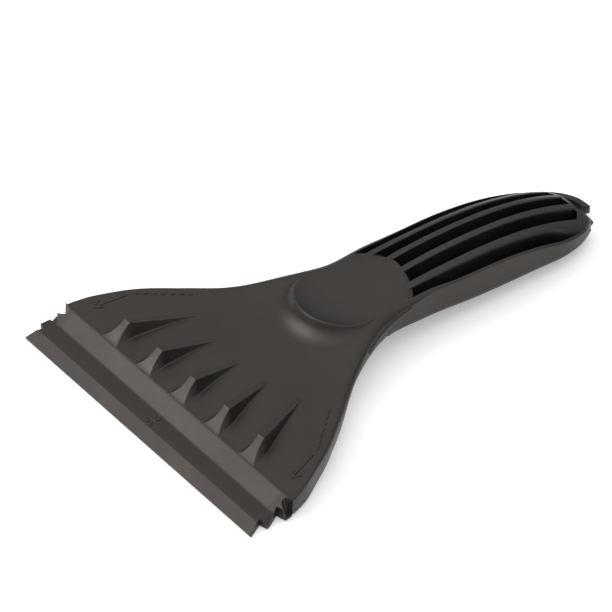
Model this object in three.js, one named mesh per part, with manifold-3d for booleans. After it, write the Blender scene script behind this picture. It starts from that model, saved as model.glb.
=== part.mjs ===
// Windshield ice scraper: a bevelled blade with chipper teeth at its ends, a fan-shaped head with
// wedge ribs, a dished thumb rest, and an arched, slotted handle that ends in an open hang hole.
// Millimetres. The tool lies blade edge first along -Y, with +X across it and +Z up.
import * as THREE from "three";
import { mergeVertices } from "three/addons/utils/BufferGeometryUtils.js";
import Module from "manifold-3d";

const wasm = await Module();
wasm.setup();

// Driving dimensions
const overallLength = 176;
const bladeHalfWidth = 57.5;
const gap = 0.3;
const beyond = 60;

const edgeThickness = 0.6;
const bevelDepth = 3.6;
const bevelHeight = 2.4;
const bandEnd = 9.5;
const bandHeight = 2.7;
const rampEnd = 15;
const rampHeight = 6.2;
const tooth = {
  barb: 3.4, root: 5.5, tipThickness: 1.2, rootThickness: 4.4, cornerHalfWidth: 58,
  secondNotch: 5.2, secondTip: 6, thirdNotch: 11.4, thirdTip: 12.3,
};

const plateThickness = 3;
const wallThickness = 2.6;
const wallDrop = 1.6;
const headHalfWidth = 57.3;
const headStart = 17;
const thumbStart = 57;
const neckHalfWidth = 15.6;
const neckEnd = 88;
const slotStart = 99;
const slotBow = 0.05;

const ribCount = 5;
const ribPitch = 17.33;
const ribBaseHalfWidth = 4;
const ribApex = { y: 21.5, z: 11.8, pitch: 16.9, halfWidth: 2 };
const ribTail = { y: 38.5, pitch: 12.6, halfWidth: 0.45, height: 0.5 };
const thumb = { y: 76, halfWidth: 13.4, halfLength: 14.6, crest: 16.2, crestEnd: 84 };
const dish = { y: 75.5, z: 16.8, halfWidth: 9.4, halfLength: 10.6, depth: 2 };

const handleHalfWidth = 16;
const handleRibs = [-9.8, -3.3, 3.3, 9.8];
const handleRibThickness = 2.4;
const handleCrown = 0.02;
const topDrop = { web: 2, tip: 1.2 };
const bellyDepth = 6.5;
const tipRound = 150;
const shellThickness = 3;
const webStart = 166.4;
const webThickness = 1.8;
const holeStart = webStart + webThickness + gap;
const hole = { x: -0.6, halfWidth: 6, halfLength: 2.8 };
const hookEnd = 2;
const lobe = { inner: 4.6, outer: 8.2, end: 170.8 };
const mark = { height: 0.5, frostHeight: 0.4, frostLength: 4.4, frostWidth: 0.7 };

// Heights along the tool, each a smooth curve through a few stations [y, z]
const topLine = curve([
  [16, 6.3], [22, 7.4], [30, 8.6], [38, 9.1], [47, 9.4], [56, 10], [62, 11.1], [71, 13.1], [78, 14.4],
  [87, 15.5], [97, 17.7], [108, 19.1], [118, 19.25], [128, 18.9], [142, 17.5], [153, 15.2], [163, 12],
  [170, 8.8], [174.5, 6], [overallLength, 4.6],
]);
const bottomLine = curve([
  [16, 0.7], [22, 1], [28, 1.9], [35, 3], [47, 4.7], [60, 5.2], [73, 5.3], [84, 4.6], [94, 3.6],
  [104, 2.6], [124, 0.9], [144, 0.1], [160, 0], [170, 0.5], [overallLength, 1.6],
]);
// Half width along the head and neck
const sideLine = curve([
  [headStart, 57], [22, 55.2], [28, 52], [35, 48], [47, 39], [61, 27], [72, 19.5], [82, 16.2],
  [98, neckHalfWidth],
]);

const plastic = new THREE.MeshStandardMaterial({ color: 0x33302e, roughness: 0.5, metalness: 0 });
const tool = new THREE.Group();
tool.position.y = -overallLength / 2;

function curve(stations) {
  return new THREE.SplineCurve(stations.map(([y, value]) => new THREE.Vector2(y, value)));
}

// Value of a station curve at y, by bisection on its parameter
function at(line, y) {
  let low = 0;
  let high = 1;
  for (let step = 0; step < 30; step++) {
    const middle = (low + high) / 2;
    if (line.getPoint(middle).x < y) {
      low = middle;
    } else {
      high = middle;
    }
  }
  return line.getPoint(low).y;
}

// Points of a station curve from y0 to y1, moved by a lift
function along(line, y0, y1, steps, lift = 0) {
  const points = [];
  for (let i = 0; i <= steps; i++) {
    const y = y0 + ((y1 - y0) * i) / steps;
    points.push([y, at(line, y) + lift]);
  }
  return points;
}

function outline(points) {
  return new THREE.Shape(points.map(([a, b]) => new THREE.Vector2(a, b)));
}

// A plan outline [x, y] raised from z0 to z1
function plan(points, z0, z1) {
  const geometry = new THREE.ExtrudeGeometry(outline(points), { depth: z1 - z0, bevelEnabled: false });
  return geometry.translate(0, 0, z0);
}

// A side outline [y, z] carried across the tool from x0 to x1
function side(points, x0, x1) {
  const geometry = new THREE.ExtrudeGeometry(outline(points), { depth: x1 - x0, bevelEnabled: false });
  const turn = new THREE.Matrix4().makeBasis(
    new THREE.Vector3(0, 1, 0), new THREE.Vector3(0, 0, 1), new THREE.Vector3(1, 0, 0));
  return geometry.applyMatrix4(turn).translate(x0, 0, 0);
}

// A cross-section outline [x, z] carried along the tool from y0 to y1
function section(points, y0, y1) {
  const geometry = new THREE.ExtrudeGeometry(outline(points), { depth: y1 - y0, bevelEnabled: false });
  return geometry.rotateX(Math.PI / 2).translate(0, y1, 0);
}

// Everything between two lifted station curves from y0 to y1, across the whole tool
function layer(line0, lift0, line1, lift1, y0, y1, steps) {
  const lower = along(line0, y0, y1, steps, lift0);
  const upper = along(line1, y0, y1, steps, lift1).reverse();
  return side([...lower, ...upper], -beyond, beyond);
}

function solid(geometry) {
  const bare = geometry.clone();
  bare.deleteAttribute("normal");
  bare.deleteAttribute("uv");
  const merged = mergeVertices(bare, 1e-4);
  return new wasm.Manifold(new wasm.Mesh({
    numProp: 3,
    vertProperties: new Float32Array(merged.attributes.position.array),
    triVerts: new Uint32Array(merged.index.array),
  }));
}

function common(...geometries) {
  return geometries.map(solid).reduce((a, b) => a.intersect(b));
}

function geometryOf(body) {
  const mesh = body.getMesh();
  const geometry = new THREE.BufferGeometry();
  geometry.setAttribute("position", new THREE.BufferAttribute(new Float32Array(mesh.vertProperties), 3));
  geometry.setIndex(new THREE.BufferAttribute(new Uint32Array(mesh.triVerts), 1));
  geometry.computeVertexNormals();
  return geometry;
}

// The same shape on the other side of the centre plane, with its faces still pointing out
function mirrored(geometry) {
  const copy = geometry.clone();
  copy.scale(-1, 1, 1);
  const index = copy.index.array;
  for (let i = 0; i < index.length; i += 3) {
    [index[i], index[i + 1]] = [index[i + 1], index[i]];
  }
  return copy;
}

function add(name, geometry) {
  const mesh = new THREE.Mesh(geometry, plastic);
  mesh.name = name;
  tool.add(mesh);
}

function addPair(name, geometry) {
  add(`${name}_right`, geometry);
  add(`${name}_left`, mirrored(geometry));
}

function bothSides(points) {
  const left = points.map(([x, y]) => [-x, y]).reverse();
  return [...points, ...left];
}

// Blade: the bevelled edge strip, then the flat band with the second tooth at each end
function bladeEdge() {
  const profile = [[0, 0.1], [bevelDepth, 0], [bevelDepth, bevelHeight], [0, edgeThickness]];
  const backHalf = bladeHalfWidth - tooth.barb * 0.65;
  const shape = bothSides([[bladeHalfWidth, 0], [backHalf, bevelDepth]]);
  return geometryOf(common(side(profile, -beyond, beyond), plan(shape, -1, beyond)));
}

function bladeBand() {
  const start = bevelDepth + gap;
  const valley = bladeHalfWidth - tooth.barb;
  const shape = bothSides([
    [valley + 0.9, start], [valley + 0.1, tooth.secondNotch], [bladeHalfWidth, tooth.secondTip],
    [valley + 1.2, bandEnd],
  ]);
  const slab = plan(shape, 0, bandHeight);
  return geometryOf(solid(slab).subtract(toothScoop(tooth.secondNotch - 0.2, bandEnd + 1)));
}

// Sloping cuts that thin the two ends of a slab to sharp teeth
function toothScoop(y0, y1) {
  const inner = bladeHalfWidth - tooth.root + 0.5;
  const cut = [[inner, bandHeight], [beyond, -0.3], [beyond, 9], [inner, 9]];
  const right = section(cut, y0, y1);
  const left = section(cut.map(([x, z]) => [-x, z]).reverse(), y0, y1);
  return solid(right).add(solid(left));
}

// The rising face behind the band
function headRamp() {
  const start = bandEnd + gap;
  const profile = [[start, 0], [rampEnd, 0.8], [rampEnd, rampHeight], [start, bandHeight]];
  const half = bladeHalfWidth - tooth.root;
  return geometryOf(common(side(profile, -half, half)));
}

// The third tooth, a scooped barb at each corner of the head
function cornerTooth() {
  const inner = bladeHalfWidth - tooth.root + gap;
  const valley = bladeHalfWidth - tooth.barb;
  const tip = tooth.cornerHalfWidth;
  const shape = [
    [inner, bandEnd + gap], [valley + 0.8, bandEnd + gap], [valley, tooth.thirdNotch],
    [tip, tooth.thirdTip], [headHalfWidth, rampEnd], [inner, rampEnd],
  ];
  const slope = [[inner, 0], [tip + 1, 0], [tip + 1, tooth.tipThickness], [inner, tooth.rootThickness]];
  return geometryOf(common(plan(shape, 0, 10), section(slope, bandEnd, rampEnd)));
}

// Thin fan-shaped plate, from the ramp to the front of the thumb rest
function headPlate() {
  const start = rampEnd + gap;
  const inset = wallThickness + gap;
  const half = along(sideLine, headStart, thumbStart, 12, -inset);
  const edge = [[headHalfWidth - inset, start], ...half.map(([y, x]) => [x, y])];
  return geometryOf(common(plan(bothSides(edge), -5, 30),
    layer(topLine, -plateThickness, topLine, 0, start, thumbStart, 10)));
}

// Side wall that stiffens the edge of the head and neck
function sideWall() {
  const start = rampEnd + gap;
  const outer = along(sideLine, headStart, neckEnd, 16).map(([y, x]) => [x, y]);
  const inner = along(sideLine, headStart, neckEnd, 16, -wallThickness).map(([y, x]) => [x, y]);
  const front = [[headHalfWidth - wallThickness, start], [headHalfWidth, start]];
  const shape = [...front, ...outer, ...inner.reverse()];
  return geometryOf(common(plan(shape, -5, 30),
    layer(bottomLine, 0, topLine, -wallDrop, start, neckEnd, 14)));
}

// Wedge rib: a flared foot on the ramp, a flat crest, and a tail that runs out on the plate
function wedgeRib(index) {
  const lane = index - (ribCount - 1) / 2;
  const foot = lane * ribPitch;
  const crest = lane * ribApex.pitch;
  const tail = lane * ribTail.pitch;
  const start = rampEnd + gap;
  const shape = [
    [foot + ribBaseHalfWidth, start], [crest + ribApex.halfWidth, ribApex.y],
    [tail + ribTail.halfWidth, ribTail.y], [tail - ribTail.halfWidth, ribTail.y],
    [crest - ribApex.halfWidth, ribApex.y], [foot - ribBaseHalfWidth, start],
  ];
  const floor = along(topLine, start, ribTail.y, 8, gap);
  const profile = [
    ...floor, [ribTail.y, at(topLine, ribTail.y) + gap + ribTail.height],
    [ribApex.y, ribApex.z], [start, at(topLine, start) + 1.2],
  ];
  return geometryOf(common(plan(shape, 0, 30), side(profile, -beyond, beyond)));
}

// Neck: the shell under and behind the thumb rest, open below
function neckShell() {
  const start = thumbStart + gap;
  const half = along(sideLine, start, neckEnd, 10, -wallThickness - gap);
  const edge = half.map(([y, x]) => [x, y]);
  return geometryOf(common(plan(bothSides(edge), -5, 30),
    layer(topLine, -plateThickness, topLine, 0, start, neckEnd, 10)));
}

// Thumb rest: a raised oval with a dished top
function thumbRest() {
  const base = new THREE.EllipseCurve(0, thumb.y, thumb.halfWidth, thumb.halfLength, 0, Math.PI * 2);
  const rim = base.getPoints(36).slice(0, 36).map((p) => [p.x, p.y]);
  const front = thumb.y - thumb.halfLength - 1;
  const back = neckEnd + 1;
  const floor = along(topLine, front, back, 10, gap);
  const profile = [
    ...floor, [back, at(topLine, back) + gap + 0.2], [thumb.crestEnd, thumb.crest], [front, thumb.crest],
  ];
  const body = common(plan(rim, 0, 30), side(profile, -20, 20));
  const hollow = new THREE.SphereGeometry(1, 32, 20)
    .scale(dish.halfWidth, dish.halfLength, dish.depth)
    .translate(0, dish.y, dish.z);
  return geometryOf(body.subtract(solid(hollow)));
}

// Solid end of the neck: its rear face bows out to form the front ends of the handle slots
function neckBulkhead() {
  const start = neckEnd + gap;
  const half = neckHalfWidth - wallThickness - gap;
  const corner = slotStart - slotBow * half * half;
  const bow = new THREE.QuadraticBezierCurve(
    new THREE.Vector2(half, corner),
    new THREE.Vector2(0, 2 * slotStart - corner),
    new THREE.Vector2(-half, corner));
  const shape = [[-half, start], [half, start], ...bow.getPoints(12).map((p) => [p.x, p.y])];
  return geometryOf(common(plan(shape, -5, 30),
    layer(bottomLine, shellThickness + gap, topLine, 0, start, slotStart, 6)));
}

// Rounded handle outline in plan, grown or shrunk by an inset
function handleOutline(y0, inset) {
  const end = overallLength - inset;
  const half = handleHalfWidth - inset;
  const points = [[neckHalfWidth - inset, y0], [half, 118], [half, tipRound]];
  const round = new THREE.EllipseCurve(0, tipRound, half, end - tipRound, 0, Math.PI / 2);
  return [...points, ...round.getPoints(14).slice(1).map((p) => [p.x, p.y])];
}

function handlePlan(y0, inset, z0, z1) {
  const right = handleOutline(y0, inset);
  return plan([...right, ...right.slice(0, -1).map(([x, y]) => [-x, y]).reverse()], z0, z1);
}

// Lower half of the handle's rounded cross-section, as a straight trough
function handleBelly(y0) {
  const belly = new THREE.EllipseCurve(0, bellyDepth, handleHalfWidth, bellyDepth, Math.PI, Math.PI * 2);
  const shape = [
    ...belly.getPoints(20).map((p) => [p.x, p.y]), [handleHalfWidth, 25], [-handleHalfWidth, 25],
  ];
  return section(shape, y0, overallLength + 1);
}

// Floor of the handle
function handleFloor() {
  const start = neckEnd + gap;
  const end = webStart + webThickness;
  return geometryOf(common(handlePlan(start, 0, -5, 30), handleBelly(start),
    layer(bottomLine, 0, bottomLine, shellThickness, start, end, 16)));
}

// Outer wall of the handle, lower than the ribs because the handle's top is crowned
function handleWall() {
  const start = neckEnd + gap;
  const end = webStart + webThickness;
  const lowered = -handleCrown * (handleHalfWidth - 1) ** 2;
  const inside = solid(handlePlan(start - 1, wallThickness, -6, 31));
  const ring = solid(handlePlan(start, 0, -5, 30)).subtract(inside);
  const right = plan([[6, start], [20, start], [20, end], [6, end]], -5, 30);
  const under = Math.min(lowered, -wallDrop);
  const height = layer(bottomLine, shellThickness + gap, topLine, under, start, end, 16);
  return geometryOf(ring.intersect(common(right, handleBelly(start), height)));
}

// One long inner rib of the handle
function handleRib(centre) {
  const half = handleRibThickness / 2;
  const inner = Math.abs(centre) - half;
  const start = slotStart - slotBow * inner * inner + gap;
  const end = webStart - gap;
  const lowered = -handleCrown * inner * inner;
  const corners = [
    [centre - half, start], [centre + half, start], [centre + half, end], [centre - half, end],
  ];
  const strip = plan(corners, -5, 30);
  return geometryOf(common(strip, handlePlan(start, wallThickness + gap, -6, 31),
    layer(bottomLine, shellThickness + gap, topLine, lowered, start, end, 14)));
}

// Web that closes the rear ends of the slots
function endWeb() {
  const end = webStart + webThickness;
  const box = plan([[-20, webStart], [20, webStart], [20, end], [-20, end]], -5, 30);
  const lower = shellThickness + gap;
  const height = layer(bottomLine, lower, topLine, -topDrop.web, webStart - 1, holeStart + 1, 3);
  return geometryOf(common(box, handlePlan(slotStart, wallThickness + gap, -6, 31), height));
}

// Tip of the handle on both sides of the hang hole, within a plan outline
function tipPart(outline) {
  const height = layer(bottomLine, 0, topLine, -topDrop.tip, holeStart - 1, overallLength, 6);
  return common(handlePlan(slotStart, 0, -5, 30), handleBelly(slotStart), plan(outline, -5, 30), height);
}

// Hook that carries the handle's rim round the far side of the through hole behind the web
function hangHook() {
  const end = overallLength + 4;
  const body = tipPart([[-20, holeStart], [hookEnd, holeStart], [hookEnd, end], [-20, end]]);
  const drill = new THREE.CylinderGeometry(1, 1, 40, 24).rotateX(Math.PI / 2);
  drill.scale(hole.halfWidth, hole.halfLength, 1).translate(hole.x, holeStart + 2.2, 0);
  return geometryOf(body.subtract(solid(drill)));
}

// Short lobe on the near side, cut off on a slant so that the hole is open towards the corner
function tipLobe() {
  return geometryOf(tipPart([
    [lobe.inner, holeStart], [20, holeStart], [20, lobe.end], [lobe.outer, lobe.end],
  ]));
}

// Raised arrow on the head that points at the side teeth
function toothArrow() {
  const shape = [
    [49.6, 19.5], [51.6, 22.8], [50.3, 22.6], [47.6, 31.4], [46.6, 31.1], [49.3, 22.3], [48.1, 21.9],
  ];
  const raised = layer(topLine, gap, topLine, gap + mark.height, 19, 32, 4);
  return geometryOf(common(plan(shape, -5, 30), raised));
}

// Raised six-armed frost mark in the middle of the band
function frostMark() {
  const arm = () => new THREE.BoxGeometry(mark.frostLength, mark.frostWidth, mark.frostHeight);
  const bars = [0, 1, 2].map((i) => solid(arm().rotateZ((i * Math.PI) / 3)));
  const star = bars.reduce((a, b) => a.add(b));
  const height = bandHeight + gap + mark.frostHeight / 2;
  return geometryOf(star).translate(0, (bevelDepth + bandEnd) / 2 + 0.1, height);
}

add("blade_edge", bladeEdge());
add("blade_band", bladeBand());
add("frost_mark", frostMark());
add("head_ramp", headRamp());
addPair("corner_tooth", cornerTooth());
add("head_plate", headPlate());
addPair("side_wall", sideWall());
for (let i = 0; i < ribCount; i++) {
  add(`wedge_rib_${i + 1}`, wedgeRib(i));
}
addPair("tooth_arrow", toothArrow());
add("neck_shell", neckShell());
add("thumb_rest", thumbRest());
add("neck_bulkhead", neckBulkhead());
add("handle_floor", handleFloor());
addPair("handle_wall", handleWall());
handleRibs.forEach((centre, i) => add(`handle_rib_${i + 1}`, handleRib(centre)));
add("end_web", endWeb());
add("hang_hook", hangHook());
add("tip_lobe", tipLobe());

export default tool;
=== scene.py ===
import bpy
import numpy as np
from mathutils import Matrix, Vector


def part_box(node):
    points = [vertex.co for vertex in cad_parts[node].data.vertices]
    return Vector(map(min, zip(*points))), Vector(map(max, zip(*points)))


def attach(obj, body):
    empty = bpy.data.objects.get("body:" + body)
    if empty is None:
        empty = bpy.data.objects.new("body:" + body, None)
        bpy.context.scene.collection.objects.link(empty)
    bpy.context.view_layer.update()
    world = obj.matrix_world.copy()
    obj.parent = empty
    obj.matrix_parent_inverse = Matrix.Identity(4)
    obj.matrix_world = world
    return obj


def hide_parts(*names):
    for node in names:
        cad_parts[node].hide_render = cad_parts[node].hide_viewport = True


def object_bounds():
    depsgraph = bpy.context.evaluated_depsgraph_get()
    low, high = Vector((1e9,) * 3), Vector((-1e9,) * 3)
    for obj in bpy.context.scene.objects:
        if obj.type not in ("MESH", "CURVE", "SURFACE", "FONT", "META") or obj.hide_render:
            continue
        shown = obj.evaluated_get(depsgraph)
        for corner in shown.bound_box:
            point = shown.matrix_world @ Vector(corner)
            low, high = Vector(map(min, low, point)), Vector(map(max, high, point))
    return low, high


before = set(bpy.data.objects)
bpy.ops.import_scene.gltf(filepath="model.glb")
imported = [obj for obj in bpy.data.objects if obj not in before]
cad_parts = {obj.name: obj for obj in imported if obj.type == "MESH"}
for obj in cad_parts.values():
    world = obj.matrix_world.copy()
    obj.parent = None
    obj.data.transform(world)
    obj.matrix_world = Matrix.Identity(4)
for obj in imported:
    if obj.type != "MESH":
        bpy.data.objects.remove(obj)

# Windshield ice scraper, one black moulding. The shapes below are worked out in millimetres
# with y counted from the blade edge, and makePiece puts them into the frame in metres.
cadLow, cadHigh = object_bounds()
mm = 0.001
print("frame loaded", len(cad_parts), "nodes")


def span(node):
    # lowest and highest corner of a CAD node in millimetres from the blade edge
    corners = np.array(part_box(node)) - [0, cadLow.y, 0]
    return corners[0] / mm, corners[1] / mm


toolLength = (cadHigh.y - cadLow.y) / mm
bevelEnd = span("blade_edge")[1][1]
bandEnd = span("blade_band")[1][1]
bandTop = span("blade_band")[1][2]
ridgeY = span("head_ramp")[1][1]
ridgeZ = span("head_ramp")[1][2]
headStart = ridgeY + 0.6
neckStart = span("neck_shell")[0][1]
handleHalf = span("handle_floor")[1][0]
webY = span("end_web")[0][1]
ribCentres = [(span(f"handle_rib_{i}")[0][0] + span(f"handle_rib_{i}")[1][0]) / 2 for i in (1, 2, 3, 4)]

profile = {
    "top": [(16, 6.3), (22, 7.4), (30, 8.6), (38, 9.1), (47, 9.4), (56, 10.2), (62, 11.6), (71, 13.8),
            (78, 15.1), (87, 16.2), (97, 18.0), (108, 19.0), (118, 19.2), (128, 18.9), (142, 17.5),
            (153, 15.2), (163, 12), (170, 8.8), (174.5, 6), (176, 4.6)],
    "bottom": [(84, 3.8), (104, 2.5), (124, 0.9), (144, 0.2), (152, 0.1), (160, 0.1), (170, 0.5),
               (176, 1.6)],
    "lip": [(16, 0.7), (22, 1), (28, 2.1), (35, 3.6), (47, 6.8), (58, 8.3), (66, 8.6), (73, 8.9),
            (80, 8.7), (90, 8.5), (98, 8.4)],
    "middle": [(84, 8.7), (93, 8.1), (104, 7.5), (116, 6.7), (128, 6.2), (144, 5.6), (160, 4.6),
               (170, 3.8), (176, 2.6)],
    "crown": [(16, 0.0), (60, 0.0), (78, 0.0), (87, 0.003), (97, 0.0105), (108, 0.017),
              (128, 0.0196), (147, 0.0228), (156, 0.0248), (166, 0.028), (176, 0.029)],
    "shoulder": [(15, 0.5), (25, 1.0), (40, 2.0), (52, 3.2), (62, 4.4), (74, 5.2), (86, 4.4), (98, 1.8),
                 (106, 1), (176, 1)],
    "drop": [(15, 0.5), (25, 1.0), (40, 1.6), (52, 2.2), (62, 2.6), (74, 2.7), (84, 2.3), (94, 0.9),
             (102, 0.2), (108, 0.1), (176, 0.1)],
    "halfWidth": [(17, 57), (22, 55.2), (28, 52.1), (35, 48.3), (47, 39.5), (61, 28.3), (72, 21.5),
                  (82, 17.1), (98, 15.7), (118, 16), (150, 16)],
    "teethEnd": 17,
    "tipStart": 150,
    "tipRound": 0.625,
}


def smoothLine(stations, y):
    # cubic curve through the stations: on each span the end values and end slopes are blended
    # with the Hermite polynomials of t, the share of the span that lies behind y
    places, values = np.array(stations, float).T
    slopes = np.gradient(values, places)
    i = np.clip(np.searchsorted(places, y) - 1, 0, len(places) - 2)
    width = places[i + 1] - places[i]
    t = np.clip((y - places[i]) / width, 0, 1)
    rise = (2 * t**3 - 3 * t**2 + 1) * values[i] + (3 * t**2 - 2 * t**3) * values[i + 1]
    return rise + width * ((t**3 - 2 * t**2 + t) * slopes[i] + (t**3 - t**2) * slopes[i + 1])


def ease(low, high, value):
    # 0 below low, 1 above high, 3t² - 2t³ between them
    t = np.clip((value - low) / (high - low), 0, 1)
    return t * t * (3 - 2 * t)


def softLower(a, b, blend):
    # the lower of a and b with a rounded meeting: minus blend times the log of both exponentials
    return -blend * np.logaddexp(-a / blend, -b / blend)


def outerHalf(y):
    # half width of the tool: the fan line, then 16 (1 - t²) to the power 0.625 round the tip
    t = np.clip((y - profile["tipStart"]) / (toolLength - profile["tipStart"]), 0, 1)
    return smoothLine(profile["halfWidth"], y) * (1 - t**2) ** profile["tipRound"]


teeth = {
    "right": [(0, 57.5), (5.2, 54.7), (6.0, 57.4), (7.2, 57.0), (11.5, 54.5), (12.3, 57.9), (17, 57)],
    "left": [(0, 57.5), (5.2, 55.6), (6.0, 57.9), (9.0, 57.9), (11.5, 56.6), (12.3, 57.9), (17, 57.6)],
}


def bladeOutline(y, side="right"):
    # half width of the blade part: straight lines between the tips and valleys of the three teeth
    return np.interp(y, *np.array(teeth[side]).T)


def headHalf(y):
    # half width with the teeth: the blade's outline up to teethEnd, the tool's outline behind it
    return np.where(y < profile["teethEnd"], bladeOutline(y), outerHalf(y))


def crownedTop(x, y):
    # height of the tool's top: the centre line less the crown times x²
    return smoothLine(profile["top"], y) - smoothLine(profile["crown"], y) * x**2


blade = {"rows": 14, "across": 260, "rim": 0.2, "edgeZ": 0.6, "step": 0.22, "stepFade": 0.7, "lap": 0.03,
         "blend": 0.12, "frontLift": 0.1, "liftFade": 1.2, "backLift": 0.9, "backFrom": (10.5, 15.6),
         "join": 0.15, "bandRows": 24, "rampRows": 40, "toothAcross": 46, "innerRim": 0.01}
scoop = {
    "second": {"across": (54.4, 57.4), "start": (4.9, 5.6), "end": (8.6, 11.4), "thickness": 1.2},
    "third": {"archX": 54.3, "archRise": 2.2, "archY": 13.9, "archHalf": 1.6, "across": 1.9,
              "start": (11.6, 12.4), "end": (15.0, 15.5), "thickness": 0.5},
}


def bladeTop(x, y):
    # bevel, flat band and ramp as straight lines in y, the ridge rounded into the head. A step
    # down behind the bevel fades out exponentially. Two scoops thin the second and third tooth
    # where x is positive, each the product of three eases; the third starts on a parabola
    bevel = blade["edgeZ"] + (bandTop - blade["edgeZ"]) * y / bevelEnd
    behind = np.maximum(y - bevelEnd - 2 * blade["lap"], 0)
    step = bandTop - blade["step"] * np.exp(-behind / blade["stepFade"])
    flat = np.where(y < bevelEnd + blade["lap"], bevel, step)
    ramp = ridgeZ + (y - ridgeY) * (ridgeZ - bandTop) / (ridgeY - bandEnd)
    rise = -softLower(-flat, -ramp, blade["blend"])
    height = softLower(rise, crownedTop(x, y), blade["blend"])
    second, third = scoop["second"], scoop["third"]
    arch = third["archX"] + third["archRise"] * ((y - third["archY"]) / third["archHalf"]) ** 2
    share2 = ease(*second["across"], x) * ease(*second["start"], y) * (1 - ease(*second["end"], y))
    share3 = ease(0, third["across"], x - arch) * ease(*third["start"], y) * (1 - ease(*third["end"], y))
    cut = np.maximum(share2 * (height - second["thickness"]), share3 * (height - third["thickness"]))
    return height - np.maximum(cut, 0)


def shellTop(x, y):
    # the crowned top less drop (1 - sqrt(1 - t²)), t being the share of the shoulder passed
    width = smoothLine(profile["shoulder"], y)
    t = np.clip((np.abs(x) - headHalf(y) + width) / width, 0, 1)
    return crownedTop(x, y) - smoothLine(profile["drop"], y) * (1 - np.sqrt(1 - t**2))


def skin(x, y):
    # visible top: the blade's in front of headStart, the shell's behind it
    return np.where(y < headStart, bladeTop(x, y), shellTop(x, y))


def belly(x, y):
    # underside of the handle: half an ellipse between the middle line and the bottom line
    middle = smoothLine(profile["middle"], y)
    side = np.clip(x / outerHalf(y), -1, 1)
    return middle - (middle - smoothLine(profile["bottom"], y)) * np.sqrt(1 - side**2)


slot = {"front": 99, "bow": 0.05}


def slotFront(x):
    # front ends of the handle slots: a parabola that bows towards the handle's end
    return slot["front"] - slot["bow"] * x**2


def plate(y, left, right, top, bottom, rim=(0.5, 0.5), across=80, spread="even", warp=None):
    # closed loops across the tool: quarter round, top, quarter round, the same back underneath.
    # rows follow y; top and bottom are heights as functions of x and y; warp moves rows in y
    y, left, right = (np.broadcast_to(np.asarray(v, float), y.shape)[:, None] for v in (y, left, right))
    bend = np.linspace(0, np.pi / 2, 6)[:-1]
    share = np.linspace(0, 1, across)
    share = (1 - np.cos(np.pi * share)) / 2 if spread == "round" else share
    body = left + rim[0] + (right - left - rim[0] - rim[1]) * share
    leftArc = left + rim[0] * (1 - np.cos(bend))
    rightArc = (right - rim[1] * (1 - np.cos(bend)))[:, ::-1]
    upper = np.concatenate([leftArc, body, rightArc], axis=1)
    drop = np.concatenate([rim[0] * (1 - np.sin(bend)), 0 * share, rim[1] * (1 - np.sin(bend))[::-1]])
    x = np.concatenate([upper, upper[:, ::-1]], axis=1)
    place = y + 0 * x if warp is None else warp(x, y)
    inner = np.clip(upper, left + rim[0], right - rim[1])
    half = upper.shape[1]
    upperZ = top(inner, place[:, :half]) - drop
    lowerZ = bottom(inner, place[:, half:][:, ::-1]) + drop
    return np.stack([x, place, np.concatenate([upperZ, lowerZ[:, ::-1]], axis=1)], axis=-1)


def roundedSection(y, corners, radii, steps=6):
    # closed loops in x and z through the corners, each corner cut by its radius, or by 0.45 of a
    # short side, and bridged by a quadratic curve; corners is rows by corners by 2
    before = np.roll(corners, 1, axis=1) - corners
    after = np.roll(corners, -1, axis=1) - corners
    gapBefore = np.linalg.norm(before, axis=-1, keepdims=True)
    gapAfter = np.linalg.norm(after, axis=-1, keepdims=True)
    before, after = before / gapBefore, after / gapAfter
    t = np.linspace(0, 1, steps)[None, None, :, None]
    reach = np.asarray(radii, float).reshape(1, -1, 1)
    start = (corners + before * np.minimum(reach, 0.45 * gapBefore))[:, :, None]
    end = (corners + after * np.minimum(reach, 0.45 * gapAfter))[:, :, None]
    loop = (1 - t) ** 2 * start + 2 * t * (1 - t) * corners[:, :, None] + t**2 * end
    loop = loop.reshape(len(y), -1, 2)
    return np.stack([loop[..., 0], np.broadcast_to(y[:, None], loop.shape[:2]), loop[..., 1]], axis=-1)


surface = {"sharpAngle": 34, "joinWidth": (0.3, 1.2)}


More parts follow.
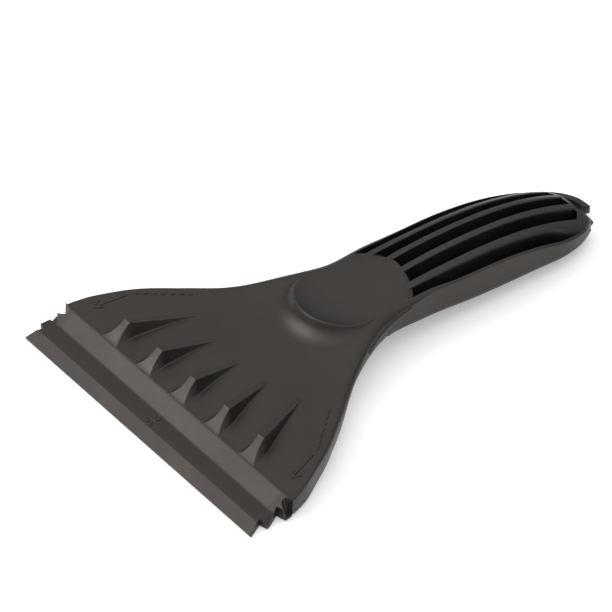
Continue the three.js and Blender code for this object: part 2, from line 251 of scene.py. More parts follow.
def makePiece(name, grids, nodes, material):
    # each grid is rows of closed loops; neighbouring loops are joined by quads and each end is
    # closed by a ladder of quads between the loop's two halves, turned so that the volume is positive.
    # clearOfJoin is 0 where a piece meets the next one and 1 further than 1.2 mm along the rows
    points, faces, clear, used = [], [], [], 0
    for grid in grids:
        rows, loop = grid.shape[:2]
        index = np.arange(rows * loop).reshape(rows, loop)
        turned = np.roll(index, -1, axis=1)
        sides = np.stack([index[:-1], turned[:-1], turned[1:], index[1:]], axis=-1).reshape(-1, 4)
        rung = np.arange(loop // 2 - 1)
        cap = np.stack([rung, rung + 1, loop - 2 - rung, loop - 1 - rung], axis=-1)
        quads = np.concatenate([sides, cap[:, ::-1], cap + (rows - 1) * loop])
        flat = grid.reshape(-1, 3)
        a, b, c, d = (flat[quads[:, k]] for k in range(4))
        volume = np.sum(a * np.cross(b, c)) + np.sum(a * np.cross(c, d))
        step = np.linalg.norm(np.diff(grid.mean(axis=1), axis=0), axis=-1)
        along = np.concatenate([[0], np.cumsum(step)])
        apart = np.minimum(along, along[-1] - along)
        clear.append(np.repeat(ease(*surface["joinWidth"], apart), loop))
        points.append(flat)
        faces.append((quads if volume > 0 else quads[:, ::-1]) + used)
        used += len(flat)
    placed = np.clip(np.concatenate(points) * mm + [0, cadLow.y, 0], cadLow, cadHigh)
    quads = np.concatenate(faces)
    mesh = bpy.data.meshes.new(name)
    mesh.from_pydata(placed.tolist(), [], quads.tolist())
    mesh.shade_smooth()
    mesh.set_sharp_from_angle(angle=np.radians(surface["sharpAngle"]))
    mesh.attributes.new("clearOfJoin", "FLOAT", "POINT").data.foreach_set("value", np.concatenate(clear))
    mesh.materials.append(material)
    piece = bpy.data.objects.new(name, mesh)
    bpy.context.scene.collection.objects.link(piece)
    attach(piece, "root")
    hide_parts(*nodes)
    print("made", name, len(quads), "faces")
    return piece


def makeGroup(name, inputs, outputs):
    # an empty shader node group with its named sockets, and its two end nodes
    group = bpy.data.node_groups.new(name, "ShaderNodeTree")
    for label, kind, value in inputs:
        socket = group.interface.new_socket(label, in_out="INPUT", socket_type=kind)
        if value is not None:
            socket.default_value = value
    for label, kind in outputs:
        group.interface.new_socket(label, in_out="OUTPUT", socket_type=kind)
    return group, group.nodes.new("NodeGroupInput"), group.nodes.new("NodeGroupOutput")


def addNode(tree, kind, values=None, **settings):
    # a node with its settings and its input values filled in
    node = tree.nodes.new(kind)
    for key, value in settings.items():
        setattr(node, key, value)
    for key, value in (values or {}).items():
        node.inputs[key].default_value = value
    return node


def mathNode(tree, operation, a, b):
    # the output of a math node on two numbers or sockets
    node = addNode(tree, "ShaderNodeMath", operation=operation)
    for socket, value in zip(node.inputs, (a, b)):
        if isinstance(value, (int, float)):
            socket.default_value = value
        else:
            tree.links.new(value, socket)
    return node.outputs[0]


def mouldGrain():
    # height of a moulded surface: fine grain plus slow flow waves
    group, given, out = makeGroup(
        "mouldGrain",
        [("Coordinates", "NodeSocketVector", None), ("Grain Size", "NodeSocketFloat", 0.0004),
         ("Flow", "NodeSocketFloat", 0.5)],
        [("Height", "NodeSocketFloat")])
    scale = mathNode(group, "DIVIDE", 1.0, given.outputs["Grain Size"])
    fine = addNode(group, "ShaderNodeTexNoise", {"Detail": 3.0, "Roughness": 0.6})
    wave = addNode(group, "ShaderNodeTexNoise", {"Scale": 60.0, "Detail": 2.0})
    group.links.new(given.outputs["Coordinates"], fine.inputs["Vector"])
    group.links.new(given.outputs["Coordinates"], wave.inputs["Vector"])
    group.links.new(scale, fine.inputs["Scale"])
    waves = mathNode(group, "MULTIPLY", wave.outputs["Fac"], given.outputs["Flow"])
    group.links.new(mathNode(group, "ADD", fine.outputs["Fac"], waves), out.inputs["Height"])
    return group


def toneDrift():
    # mask from 0 to 1 that drifts slowly over the surface, with small cloudy marks in it
    group, given, out = makeGroup(
        "toneDrift", [("Coordinates", "NodeSocketVector", None)], [("Mask", "NodeSocketFloat")])
    slow = addNode(group, "ShaderNodeTexNoise", {"Scale": 35.0, "Detail": 2.0, "Roughness": 0.5})
    marks = addNode(group, "ShaderNodeTexNoise", {"Scale": 320.0, "Detail": 4.0, "Roughness": 0.62})
    for node in (slow, marks):
        group.links.new(given.outputs["Coordinates"], node.inputs["Vector"])
    both = mathNode(group, "ADD", mathNode(group, "MULTIPLY", slow.outputs["Fac"], 0.65),
                    mathNode(group, "MULTIPLY", marks.outputs["Fac"], 0.35))
    ramp = addNode(group, "ShaderNodeMapRange", {"From Min": 0.35, "From Max": 0.65})
    group.links.new(both, ramp.inputs["Value"])
    group.links.new(ramp.outputs["Result"], out.inputs["Mask"])
    return group


def edgeWearAndHighlightMask():
    # mask that is 1 on sharp outer edges: how far the rounded normal leans from the real one. The edges it
    # picks out are painted lighter, partly as rubbed wear and partly as a painted highlight along them
    group, given, out = makeGroup(
        "edgeWearAndHighlightMask",
        [("Coordinates", "NodeSocketVector", None), ("Width", "NodeSocketFloat", 0.0004)],
        [("Mask", "NodeSocketFloat")])
    bevel = addNode(group, "ShaderNodeBevel", samples=4)
    real = addNode(group, "ShaderNodeNewGeometry")
    lean = addNode(group, "ShaderNodeVectorMath", operation="DOT_PRODUCT")
    breaks = addNode(group, "ShaderNodeTexNoise", {"Scale": 900.0, "Detail": 2.0})
    group.links.new(given.outputs["Coordinates"], breaks.inputs["Vector"])
    group.links.new(given.outputs["Width"], bevel.inputs["Radius"])
    group.links.new(bevel.outputs["Normal"], lean.inputs[0])
    group.links.new(real.outputs["Normal"], lean.inputs[1])
    ramp = addNode(group, "ShaderNodeMapRange",
                   {"From Min": 0.985, "From Max": 0.8, "To Min": 0.0, "To Max": 1.0})
    group.links.new(lean.outputs["Value"], ramp.inputs["Value"])
    wearAndHighlight = mathNode(group, "MULTIPLY", ramp.outputs["Result"],
                    mathNode(group, "ADD", breaks.outputs["Fac"], 0.4))
    group.links.new(wearAndHighlight, out.inputs["Mask"])
    return group


sharedGroups = {"grain": mouldGrain(), "drift": toneDrift(), "edgeWearAndHighlight": edgeWearAndHighlightMask()}


def blackPlastic(name, look):
    # dark plastic: drifting tone, outer edges painted lighter away from the joins (partly rubbed wear,
    # partly a painted highlight), uneven roughness and fine grain
    material = bpy.data.materials.new(name)
    material.use_nodes = True
    tree = material.node_tree
    shader = tree.nodes["Principled BSDF"]
    place = addNode(tree, "ShaderNodeTexCoord").outputs["Object"]
    effects = {}
    for key, group in sharedGroups.items():
        effects[key] = addNode(tree, "ShaderNodeGroup", node_tree=group)
        tree.links.new(place, effects[key].inputs["Coordinates"])
    effects["grain"].inputs["Grain Size"].default_value = look["grainSize"]
    effects["grain"].inputs["Flow"].default_value = look["flow"]
    effects["edgeWearAndHighlight"].inputs["Width"].default_value = look["edgeWearAndHighlightWidth"]
    body = addNode(tree, "ShaderNodeMix", data_type="RGBA")
    body.inputs[6].default_value = (*look["dark"], 1)
    body.inputs[7].default_value = (*look["light"], 1)
    tree.links.new(effects["drift"].outputs["Mask"], body.inputs[0])
    # lighter edge colour: partly rubbed wear, partly a painted highlight along the outer edges
    wearAndHighlight = addNode(tree, "ShaderNodeMix", data_type="RGBA")
    wearAndHighlight.inputs[7].default_value = (*look["wearAndHighlight"], 1)
    tree.links.new(body.outputs[2], wearAndHighlight.inputs[6])
    clear = addNode(tree, "ShaderNodeAttribute", attribute_name="clearOfJoin").outputs["Fac"]
    wearAndHighlightAwayFromJoins = mathNode(tree, "MULTIPLY", effects["edgeWearAndHighlight"].outputs["Mask"], clear)
    tree.links.new(mathNode(tree, "MULTIPLY", wearAndHighlightAwayFromJoins, look["edgeWearAndHighlight"]), wearAndHighlight.inputs[0])
    tree.links.new(wearAndHighlight.outputs[2], shader.inputs["Base Color"])
    shine = mathNode(tree, "MULTIPLY", effects["drift"].outputs["Mask"], look["roughDrift"])
    tree.links.new(mathNode(tree, "ADD", shine, look["rough"]), shader.inputs["Roughness"])
    bump = addNode(tree, "ShaderNodeBump", {"Strength": look["bump"], "Distance": look["bumpDepth"]})
    tree.links.new(effects["grain"].outputs["Height"], bump.inputs["Height"])
    tree.links.new(bump.outputs["Normal"], shader.inputs["Normal"])
    shader.inputs["IOR"].default_value = 1.5
    shader.inputs["Specular IOR Level"].default_value = look["specular"]
    shader.inputs["Specular Tint"].default_value = (*look["sheen"], 1)
    return material


# the lighter edge colour and its strength below are partly rubbed wear and partly a painted highlight on
# outer edges
plasticLook = {
    "dark": (0.0068, 0.0062, 0.0058), "light": (0.0125, 0.0113, 0.0104), "wearAndHighlight": (0.07, 0.066, 0.062),
    "grainSize": 0.0005, "flow": 0.8, "edgeWearAndHighlightWidth": 0.0005, "edgeWearAndHighlight": 0.55,
    "rough": 0.36, "roughDrift": 0.1, "bump": 0.12, "bumpDepth": 0.0001, "specular": 0.5,
    "sheen": (1, 0.88, 0.8),
}
bladePlastic = blackPlastic("bladePlastic", {**plasticLook, "rough": 0.42, "grainSize": 0.0004, "edgeWearAndHighlight": 0.7})
headPlastic = blackPlastic("headPlastic", plasticLook)
handlePlastic = blackPlastic("handlePlastic", {**plasticLook, "rough": 0.34, "edgeWearAndHighlight": 0.5})
print("materials ready")


def bladeBottom(x, y):
    # nearly flat: a lift that fades exponentially behind the edge, and an ease up under the ramp
    front = blade["frontLift"] * np.exp(-y / blade["liftFade"])
    return front + blade["backLift"] * ease(*blade["backFrom"], y) + 0 * x


def bladeStrip(y, left, right, rim=blade["rim"]):
    # one part of the blade between its two ends
    return plate(y, -left, right, bladeTop, bladeBottom, (rim, rim), blade["across"])


joinY = bevelEnd + blade["join"]
edgeRows = np.append(np.linspace(0, bevelEnd + 0.02, blade["rows"]), [bevelEnd + 0.04, joinY])
edgeStrip = bladeStrip(edgeRows, bladeOutline(edgeRows, "left"), bladeOutline(edgeRows))
makePiece("blade_edge", [edgeStrip], ["blade_edge"], bladePlastic)
bandRows = np.unique(np.append(np.linspace(joinY, bandEnd, blade["bandRows"]), [5.2, 5.6, 6.0]))
bandStrip = bladeStrip(bandRows, bladeOutline(bandRows, "left"), bladeOutline(bandRows))
makePiece("blade_band", [bandStrip], ["blade_band"], bladePlastic)
rampHalf = span("head_ramp")[1][0]
rampRows = np.linspace(bandEnd, headStart, blade["rampRows"])
makePiece("head_ramp", [bladeStrip(rampRows, rampHalf, rampHalf, blade["innerRim"])], ["head_ramp"],
          headPlastic)
toothRows = np.unique(np.append(rampRows, [11.5, 11.9, 12.3]))
for side, sign in (("right", 1), ("left", -1)):
    tooth = plate(toothRows, rampHalf, bladeOutline(toothRows, side), bladeTop, bladeBottom,
                  (blade["innerRim"], blade["rim"]), blade["toothAcross"])
    makePiece(f"corner_tooth_{side}", [tooth * [sign, 1, 1]], [f"corner_tooth_{side}"],
              bladePlastic)

head = {"thickness": 3, "rim": 0.03, "rows": 110, "edgeIn": (-4, -2.5), "edgeFrom": (42, 56),
        "lipRoom": 0.6}


def underPlate(x, y):
    # parallel to the top, one plate thickness lower; along the neck it runs down to the lip at
    # the sides, by the product of two eases
    top = shellTop(x, y)
    lip = np.minimum(smoothLine(profile["lip"], y), top - head["lipRoom"])
    edge = ease(*head["edgeIn"], np.abs(x) - headHalf(y)) * ease(*head["edgeFrom"], y)
    return (top - head["thickness"]) * (1 - edge) + lip * edge


plateRows = np.linspace(headStart, neckStart, head["rows"])
shell = plate(plateRows, -headHalf(plateRows), headHalf(plateRows), shellTop, underPlate,
              (head["rim"],) * 2, 180, "round")
makePiece("head_plate", [shell], ["head_plate"], headPlastic)


neck = {"end": 86, "rows": 70, "restY": 76, "restReach": 13, "sunk": 1}


def neckTop(x, y):
    # the shell's top, lowered by sunk where the thumb rest covers it
    away = np.hypot(x, y - neck["restY"]) / neck["restReach"]
    return shellTop(x, y) - neck["sunk"] * (1 - ease(0.8, 1, away))


neckRows = np.linspace(neckStart, neck["end"], neck["rows"])
neckHalf = outerHalf(neckRows)
neckLoops = plate(neckRows, -neckHalf, neckHalf, neckTop, underPlate, (head["rim"],) * 2, 120, "round")
makePiece("neck_shell", [neckLoops], ["neck_shell"], headPlastic)

sideWall = {"end": 84, "rows": 120, "thickness": 2.2, "below": 1.2, "least": 0.4, "inset": 0.03,
            "neckInset": 0.5, "insetFrom": (44, 54), "rim": 0.2}


def wallFoot(x, y):
    # the lip line
    return smoothLine(profile["lip"], y) + 0 * x


def wallTop(x, y):
    # a little below the shell's top, and never below the foot
    return np.maximum(shellTop(x, y) - sideWall["below"], wallFoot(x, y) + sideWall["least"])


wallRows = np.linspace(headStart, sideWall["end"], sideWall["rows"])
wallIn = sideWall["inset"] + sideWall["neckInset"] * ease(*sideWall["insetFrom"], wallRows)
wallOut = headHalf(wallRows) - wallIn
for side, sign in (("right", 1), ("left", -1)):
    wall = plate(wallRows, wallOut - sideWall["thickness"], wallOut, wallTop, wallFoot,
                 (sideWall["rim"],) * 2, 6)
    makePiece(f"side_wall_{side}", [wall * [sign, 1, 1]], [f"side_wall_{side}"], headPlastic)
print("head done")

wedge = {"count": 5, "pitch": 17.33, "crestPitch": 16.9, "tailPitch": 12.6, "tailY": 38.5,
         "tailBow": 1.05, "crestY": 21.5, "crestZ": 11.8, "crestHalf": 1.4, "tailHalf": 0.62, "foot": 4.0,
         "flare": 2.4, "hollow": 0.25, "fillet": 0.5, "rows": 90, "spacing": 1.15, "lead": 0.4,
         "sunk": 0.3, "skirt": 1, "skirtDepth": 1.4}


def wedgeRib(lane):
    # loops along y: flat top between straight flanks with rounded feet. The top's half width falls
    # from the foot to the crest by (1 - t) to the power flare, then straight to the tail; its height
    # is the lower of the hollow front slope, t to the power 1 + hollow, and the falling ridge line,
    # rounded where they meet
    tailY = wedge["tailY"] + wedge["tailBow"] * lane**2
    startY = ridgeY - wedge["lead"]
    y = startY + (tailY - startY) * np.linspace(0, 1, wedge["rows"]) ** wedge["spacing"]
    front = np.clip((y - ridgeY) / (wedge["crestY"] - ridgeY), -0.1, 1)
    back = np.clip((y - wedge["crestY"]) / (tailY - wedge["crestY"]), 0, 1)
    centre = lane * np.interp(y, [ridgeY, wedge["crestY"], tailY],
                              [wedge["pitch"], wedge["crestPitch"], wedge["tailPitch"]])
    topHalf = wedge["crestHalf"] + (wedge["foot"] - wedge["crestHalf"]) * (1 - front) ** wedge["flare"]
    topHalf = topHalf + (wedge["tailHalf"] - wedge["crestHalf"]) * back
    footHalf = np.maximum(np.interp(y, [ridgeY, tailY], [wedge["foot"], wedge["tailHalf"] + 0.1]), topHalf)
    ground = skin(centre, y)
    slope = (wedge["crestZ"] - ridgeZ) / (wedge["crestY"] - ridgeY)
    rising = ridgeZ - 0.05 + (y - ridgeY) * slope * np.abs(front) ** wedge["hollow"]
    rising = rising - wedge["sunk"] * (front < 0)
    tailZ = crownedTop(wedge["tailPitch"] * lane, np.array([tailY]))[0] + 0.1
    falling = wedge["crestZ"] + (y - wedge["crestY"]) * (tailZ - wedge["crestZ"]) / (tailY - wedge["crestY"])
    topZ = np.maximum(softLower(rising, falling, 0.1), ground - wedge["sunk"])
    skirt = footHalf + wedge["skirt"]
    reach = np.stack([-skirt, -footHalf, -topHalf, topHalf, footHalf, skirt, skirt, -skirt], axis=1)
    x = centre[:, None] + reach
    level = skin(x, y[:, None])
    lift = np.array([-0.04, 0, 0, 0, 0, -0.04, -wedge["skirtDepth"], -wedge["skirtDepth"]])
    z = level + lift
    z[:, 2:4] = topZ[:, None]
    corners = np.stack([x, z], axis=-1)
    fillet = wedge["fillet"]
    return roundedSection(y, corners, [0.05, fillet, 0.22, 0.22, fillet, 0.05, 0.05, 0.05])


for number in range(wedge["count"]):
    lane = number - (wedge["count"] - 1) / 2
    makePiece(f"wedge_rib_{number + 1}", [wedgeRib(lane)], [f"wedge_rib_{number + 1}"],
              headPlastic)

thumb = {"centreY": 76, "crestFront": 12.6, "crestSide": 14.6, "crestZ": 16.4, "dishZ": 14.2,
         "dishRise": 0.12, "steep": 1.7, "bend": 0.57, "fillet": 5.8, "crestBlend": 0.22,
         "turns": 180, "rings": 130, "search": (8, 22), "flank": 7, "fade": (66, 84), "sunk": 0.03,
         "skirt": 8, "depth": 1.6}


def thumbRest():
    # rings about the rest's centre. Inside the crest the dish rises with the third power of the
    # radius t, and towards the handle with 3t² - 2t³, which leaves it level. Outside it the flank
    # falls in a straight line of slope steep, and a quarter arc r - sqrt(r² - (end - d)²) of the
    # distance d from the crest carries it onto the neck. Dish and flank meet in a rounded crest,
    # and both fade out towards the handle
    angle = np.linspace(0, 2 * np.pi, thumb["turns"], endpoint=False)[None]
    forward = np.clip(-np.sin(angle), 0, 1)
    crest = thumb["crestSide"] + (thumb["crestFront"] - thumb["crestSide"]) * forward**2
    reach = np.linspace(*thumb["search"], 400)[:, None]
    within = np.abs(reach * np.cos(angle)) < outerHalf(thumb["centreY"] + reach * np.sin(angle)) - 0.5
    limit = np.where(within, reach, 0).max(axis=0)
    foot = np.minimum(crest + thumb["flank"], limit)
    share = np.linspace(1.08, 0.002, thumb["rings"])[:, None] ** 0.8
    radius = foot * share
    x = radius * np.cos(angle)
    y = thumb["centreY"] + radius * np.sin(angle)
    ground = shellTop(x, y)
    height = np.maximum(thumb["crestZ"] - ground, 0.05) * (1 - ease(*thumb["fade"], y)) + 0.02
    floorZ = thumb["dishZ"] + thumb["dishRise"] * np.maximum(y - thumb["centreY"], 0) - ground
    back = ease(-0.5, 0.5, np.sin(angle))
    dish = floorZ + (height - floorZ) * ((1 - back) * (radius / crest) ** 3 + back * ease(0, crest, radius))
    arc = np.minimum(thumb["fillet"], 1.4 * height)
    out = radius - crest
    end = height / thumb["steep"] + arc * thumb["bend"]
    curve = arc - np.sqrt(np.maximum(arc**2 - (end - out) ** 2, 0))
    straight = height - thumb["steep"] * out
    switch = end - arc * thumb["steep"] / np.hypot(1, thumb["steep"])
    flank = np.where(out < switch, straight, np.where(out < end, curve, 0))
    blend = thumb["crestBlend"] * np.clip(height / 1.5, 0.05, 1)
    z = ground + softLower(dish, flank, blend) - thumb["sunk"]
    z = np.where(share > 1, ground - thumb["sunk"] - thumb["skirt"] * (share - 1), z)
    top = np.stack([x, y, z], axis=-1)
    base = top[:1] - [0, 0, 0.4]
    core = np.stack([x, y, ground - thumb["depth"]], axis=-1)[-1:]
    return np.concatenate([core, base, top])


makePiece("thumb_rest", [thumbRest()], ["thumb_rest"], headPlastic)

bulkhead = {"rows": 24, "rim": 0.1, "floorLap": 0.6}


def toSlots(x, y):
    # rows run from a straight line to the bowed front ends of the slots
    share = (y - neck["end"]) / (slotFront(0) - neck["end"])
    return neck["end"] + share * (slotFront(x) - neck["end"])


def bulkheadFoot(x, y):
    # parallel to the belly, inside the handle's floor
    return belly(x, y) + bulkhead["floorLap"]


bulkRows = np.linspace(neck["end"], slotFront(0), bulkhead["rows"])
bulkHalf = outerHalf(bulkRows)
bulkLoops = plate(bulkRows, -bulkHalf, bulkHalf, neckTop, bulkheadFoot, (bulkhead["rim"],) * 2, 120,
                  "round", toSlots)
makePiece("neck_bulkhead", [bulkLoops], ["neck_bulkhead"], handlePlastic)

grip = {"start": 83.5, "thickness": 3, "wall": 2.4, "wallEnd": 167.5, "floorEnd": 169,
        "ribThickness": 2.4, "ribFoot": 1, "ribLead": 1.5, "ribRim": 0.45, "rows": 120,
        "rimStations": (88, 108), "rimWidths": (2.2, 0.9, 0.8), "inset": 0.3, "insetFrom": (92, 104),
        "endDrop": 0.8, "endDropFrom": (158, 168)}
floorRows = np.linspace(grip["start"], grip["floorEnd"], grip["rows"])
floorHalf = outerHalf(floorRows)


def floorTop(x, y):
    # half an ellipse below the middle line, one floor thickness above the belly in the centre
    middle = smoothLine(profile["middle"], y)
    side = np.clip(x / outerHalf(y), -1, 1)
    depth = middle - smoothLine(profile["bottom"], y) - grip["thickness"]
    return middle + 0.02 - depth * np.sqrt(1 - side**2)


floorLoops = plate(floorRows, -floorHalf, floorHalf, floorTop, belly, (0.01, 0.01), 70, "round")
makePiece("handle_floor", [floorLoops], ["handle_floor"], handlePlastic)

gripRows = np.linspace(grip["start"], grip["wallEnd"], grip["rows"])
outer = outerHalf(gripRows)
rimWidth = np.interp(gripRows, [*grip["rimStations"], grip["wallEnd"]], grip["rimWidths"])
middleLine = smoothLine(profile["middle"], gripRows)
lower = grip["endDrop"] * ease(*grip["endDropFrom"], gripRows)
wallCorners = [np.stack([outer, middleLine], axis=-1)]
for share in (0.0, 0.12, 0.35, 1.0):
    reach = outer - grip["inset"] * ease(*grip["insetFrom"], gripRows) - rimWidth * share
    wallCorners.append(np.stack([reach, shellTop(reach, gripRows) - lower], axis=-1))
wallCorners.append(np.stack([outer - grip["wall"], middleLine], axis=-1))
wallCorners = np.stack(wallCorners, axis=1)
for side, sign in (("right", 1), ("left", -1)):
    wall = roundedSection(gripRows, wallCorners, [0.02, 0.3, 0.1, 0.15, 0.12, 0.02])
    makePiece(f"handle_wall_{side}", [wall * [sign, 1, 1]], [f"handle_wall_{side}"],
              handlePlastic)


def ribFoot(x, y):
    # parallel to the belly, inside the handle's floor
    return belly(x, y) + grip["ribFoot"]


for number, centre in enumerate(ribCentres[:3], 1):
    ribRows = np.linspace(slotFront(centre) - grip["ribLead"], webY + 0.6, 80)
    half = grip["ribThickness"] / 2
    rib = plate(ribRows, centre - half, centre + half, crownedTop, ribFoot, (grip["ribRim"],) * 2, 8)
    makePiece(f"handle_rib_{number}", [rib], [f"handle_rib_{number}"], handlePlastic)

lobe = {"spreadFrom": 148, "spreadTo": 168, "innerFrom": 163.5, "innerTo": 167.8, "innerX": 4.6,
        "join": 167.4, "closeFrom": 167.7, "closeX": 8.4, "end": 170.9,
        "radii": [0.02, 0.4, 0.5, 0.6, 0.1, 0.1]}


def lobeSection(y):
    # the last rib's section: its right flank leans out to the wall's rim between spreadFrom and
    # spreadTo, its left side widens to the notch between innerFrom and innerTo, and goes back in a
    # straight line to closeX at the end
    lean = ease(lobe["spreadFrom"], lobe["spreadTo"], y)
    inward = ease(lobe["innerFrom"], lobe["innerTo"], y)
    edge = outerHalf(y)
    left = ribCentres[3] - grip["ribThickness"] / 2
    left = left + (lobe["innerX"] - left) * inward
    closing = np.clip((y - lobe["closeFrom"]) / (lobe["end"] - lobe["closeFrom"]), 0, 1)
    left = left + (lobe["closeX"] - left) * closing
    right = np.minimum(ribCentres[3] + grip["ribThickness"] / 2, edge - 1.4)
    right = np.maximum(right, left + 0.2)
    far = np.maximum(right + lean * (edge - 0.3 - right), left + 0.3)
    middle = smoothLine(profile["middle"], y)
    low = belly(left, y) + 0.5
    shoulder = low + 2 + lean * (crownedTop(far, y) - 0.4 - low - 2)
    x = np.stack([left, left, right, far, far, (left + far) / 2], axis=1)
    side = np.minimum(middle, shoulder - 0.4)
    z = np.stack([low, crownedTop(left, y), crownedTop(right, y), shoulder, side,
                  belly((left + far) / 2, y)], axis=1)
    return np.stack([x, z], axis=-1)


lastRows = np.linspace(slotFront(ribCentres[3]) - grip["ribLead"], lobe["join"], 90)
makePiece("handle_rib_4", [roundedSection(lastRows, lobeSection(lastRows), lobe["radii"])],
          ["handle_rib_4"], handlePlastic)
lobeRows = lobe["join"] + (lobe["end"] - lobe["join"]) * np.sin(np.linspace(0, np.pi / 2, 40))
lobeLoops = roundedSection(lobeRows, lobeSection(lobeRows), lobe["radii"])
shrink = 1 - ((lobeRows - lobe["join"]) / (lobe["end"] - lobe["join"] + 0.03)) ** 4
shrink = np.sqrt(shrink)[:, None, None]
lobeCentre = lobeLoops.mean(axis=1, keepdims=True)
makePiece("tip_lobe", [lobeCentre + (lobeLoops - lobeCentre) * shrink], ["tip_lobe"],
          handlePlastic)

web = {"thickness": 1.5, "left": 12.5, "right": 9.5, "inset": 0.6, "below": 0.3, "rim": 0.3}


def webTop(x, y):
    # the crowned top, a little lower
    return crownedTop(x, y) - web["below"]


webRows = np.linspace(webY, webY + web["thickness"], 5)
webLeft = -np.minimum(web["left"], outerHalf(webRows) - web["inset"])
webLoops = plate(webRows, webLeft, web["right"], webTop, ribFoot, (web["rim"],) * 2, 30)
makePiece("end_web", [webLoops], ["end_web"], handlePlastic)

hook = {"from": 158, "to": 1.755, "closeFrom": 1.70, "width": 2.3, "rows": 110,
        "heights": [(158, 8.2), (162, 7.6), (166, 7.1), (171, 6.6), (173.5, 6.1), (175, 5.6), (176, 4.8)]}


def hangHook():
    # a rounded bar carried round the tip's outline: x is -16 cos(b)^1.25, y is 150 + 26 sin(b)
    low = np.arcsin((hook["from"] - profile["tipStart"]) / (toolLength - profile["tipStart"]))
    b = np.linspace(low, hook["to"], hook["rows"])
    x = -handleHalf * np.sign(np.cos(b)) * np.abs(np.cos(b)) ** (2 * profile["tipRound"])
    y = profile["tipStart"] + (toolLength - profile["tipStart"]) * np.sin(b)
    along = np.stack([np.gradient(x), np.gradient(y)], axis=-1)
    along /= np.linalg.norm(along, axis=-1, keepdims=True)
    inward = np.stack([along[:, 1], -along[:, 0]], axis=-1)
    topZ = smoothLine(hook["heights"], y)
    lowZ = belly(x * 0.9, y) * 0.6 + 0.6
    offset = np.array([0, 0, 1, 1]) * hook["width"]
    corners = np.stack([offset + 0 * topZ[:, None], np.stack([lowZ, topZ, topZ, lowZ], axis=1)], axis=-1)
    loops = roundedSection(y, corners, [0.5, 0.6, 0.6, 0.5])
    closing = np.clip(1 - ease(hook["closeFrom"], hook["to"] + 0.002, b) ** 2, 0.003, 1)
    closing = np.sqrt(closing)[:, None, None]
    middle = loops.mean(axis=1, keepdims=True)
    loops = middle + (loops - middle) * closing
    reach = loops[..., :1]
    plan = np.stack([x, y], axis=-1)[:, None] + reach * inward[:, None]
    return np.concatenate([plan, loops[..., 2:]], axis=-1)


makePiece("hang_hook", [hangHook()], ["hang_hook"], handlePlastic)
print("handle done")


def raisedBar(start, end, width, lift):
    # a low rounded bar from start to end that follows the surface under it
    start, end = np.array(start, float), np.array(end, float)
    t = np.linspace(-0.04, 1.04, 16)
    swell = np.sqrt(np.clip(1 - (2 * t - 1) ** 8, 0, 1)) * 0.98 + 0.02
    path = start + (end - start) * np.clip(t, 0, 1)[:, None]
    forward = (end - start) / np.linalg.norm(end - start)
    aside = np.array([-forward[1], forward[0]])
    angle = np.linspace(0, 2 * np.pi, 20, endpoint=False)
    reach = np.cos(angle) * width / 2 * swell[:, None]
    x = path[:, :1] + reach * aside[0]
    y = path[:, 1:] + reach * aside[1]
    z = skin(x, y) + np.sign(np.sin(angle)) * np.abs(np.sin(angle)) ** 0.6 * lift * swell[:, None]
    return np.stack([x, y, z], axis=-1)


mark = {"arrow": [((49.9, 20.2), (47.0, 31.0)), ((49.9, 20.2), (51.3, 23.4)), ((49.9, 20.2), (48.0, 22.6))],
        "dashes": 7, "dashFrom": (46.2, 33.0), "dashTo": (33.5, 47.5), "dashShare": 0.6,
        "width": 0.7, "lift": 0.3, "frostArm": 2.6, "frostY": 6.65, "frostWidth": 0.8}
dashFrom, dashTo = np.array(mark["dashFrom"]), np.array(mark["dashTo"])
dashStep = (dashTo - dashFrom) / mark["dashes"]
for side, sign in (("right", 1), ("left", -1)):
    bars = [raisedBar(a, b, mark["width"], mark["lift"]) for a, b in mark["arrow"]]
    bars += [raisedBar(dashFrom + dashStep * i, dashFrom + dashStep * (i + mark["dashShare"]),
                       mark["width"], mark["lift"]) for i in range(mark["dashes"])]
    makePiece(f"tooth_arrow_{side}", [bar * [sign, 1, 1] for bar in bars], [f"tooth_arrow_{side}"],
              headPlastic)
frost = []
for turn in np.radians([0, 60, 120]):
    arm = mark["frostArm"] * np.array([np.cos(turn), np.sin(turn)])
    centre = np.array([0, mark["frostY"]])
    frost.append(raisedBar(centre - arm, centre + arm, mark["frostWidth"], mark["lift"]))
makePiece("frost_mark", frost, ["frost_mark"], bladePlastic)

# camera: a long lens from the front right, above the blade
cameraSetup = {"azimuth": 52.589, "elevation": 39.005, "distance": 1.42087, "lens": 273.9,
               "target": (-0.00863, -0.01736, 0.00945)}
azimuth, elevation = np.radians([cameraSetup["azimuth"], cameraSetup["elevation"]])
back = Vector((np.sin(azimuth) * np.cos(elevation), -np.cos(azimuth) * np.cos(elevation), np.sin(elevation)))
cameraData = bpy.data.cameras.new("camera")
cameraData.lens = cameraSetup["lens"]
cameraData.sensor_width = 36
camera = bpy.data.objects.new("camera", cameraData)
camera.location = Vector(cameraSetup["target"]) + back * cameraSetup["distance"]
camera.rotation_euler = (-back).to_track_quat("-Z", "Y").to_euler()
bpy.context.scene.collection.objects.link(camera)
bpy.context.scene.camera = camera

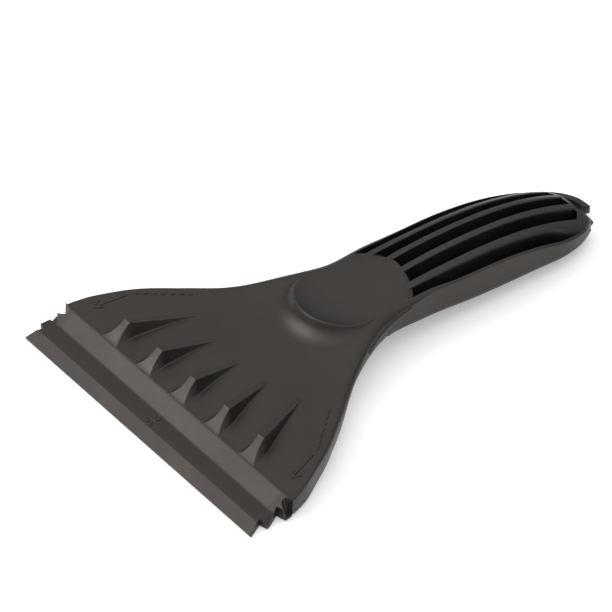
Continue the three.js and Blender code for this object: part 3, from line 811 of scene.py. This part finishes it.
studio = {
    "key": {"place": (-0.62, -0.8, 0.78), "size": 0.7, "power": 8},
    "fill": {"place": (0.9, -0.6, 0.9), "size": 1.0, "power": 0.4},
    "world": 1.0, "horizon": 0.05, "zenith": 1.25, "clearAbove": 0.95, "floorHalf": 0.5,
    "floorColour": (0.9, 0.9, 0.89), "floorGlow": 0.3,
}
for name in ("key", "fill"):
    lamp = bpy.data.lights.new(name, "AREA")
    lamp.size = studio[name]["size"]
    lamp.energy = studio[name]["power"]
    light = bpy.data.objects.new(name, lamp)
    light.location = studio[name]["place"]
    light.rotation_euler = (-Vector(studio[name]["place"])).to_track_quat("-Z", "Y").to_euler()
    bpy.context.scene.collection.objects.link(light)
world = bpy.data.worlds.new("studioWorld")
world.use_nodes = True
sky = world.node_tree
sky.nodes["Background"].inputs["Color"].default_value = (1, 1, 1, 1)
direction = addNode(sky, "ShaderNodeTexCoord").outputs["Generated"]
height = addNode(sky, "ShaderNodeSeparateXYZ")
sky.links.new(direction, height.inputs[0])
glow = addNode(sky, "ShaderNodeMapRange", {"From Min": 0.0, "From Max": studio["clearAbove"],
                                           "To Min": studio["horizon"], "To Max": studio["zenith"]})
sky.links.new(height.outputs["Z"], glow.inputs["Value"])
seen = addNode(sky, "ShaderNodeLightPath").outputs["Is Camera Ray"]
sky.links.new(mathNode(sky, "MAXIMUM", mathNode(sky, "MULTIPLY", seen, studio["world"]),
                       glow.outputs["Result"]), sky.nodes["Background"].inputs["Strength"])
bpy.context.scene.world = world
bpy.context.scene.view_settings.view_transform = "Standard"

floorMaterial = bpy.data.materials.new("paleFloor")
floorMaterial.use_nodes = True
floorShader = floorMaterial.node_tree.nodes["Principled BSDF"]
floorShader.inputs["Base Color"].default_value = (*studio["floorColour"], 1)
floorShader.inputs["Roughness"].default_value = 0.9
floorShader.inputs["Emission Color"].default_value = (1, 1, 0.99, 1)
floorShader.inputs["Emission Strength"].default_value = studio["floorGlow"]
floorMesh = bpy.data.meshes.new("floor")
reach = studio["floorHalf"]
floorCorners = [(reach * a, reach * b, -0.0002) for a, b in ((-1, -1), (1, -1), (1, 1), (-1, 1))]
floorMesh.from_pydata(floorCorners, [], [(0, 1, 2, 3)])
floorMesh.materials.append(floorMaterial)
floor = bpy.data.objects.new("floor", floorMesh)
bpy.context.scene.collection.objects.link(floor)
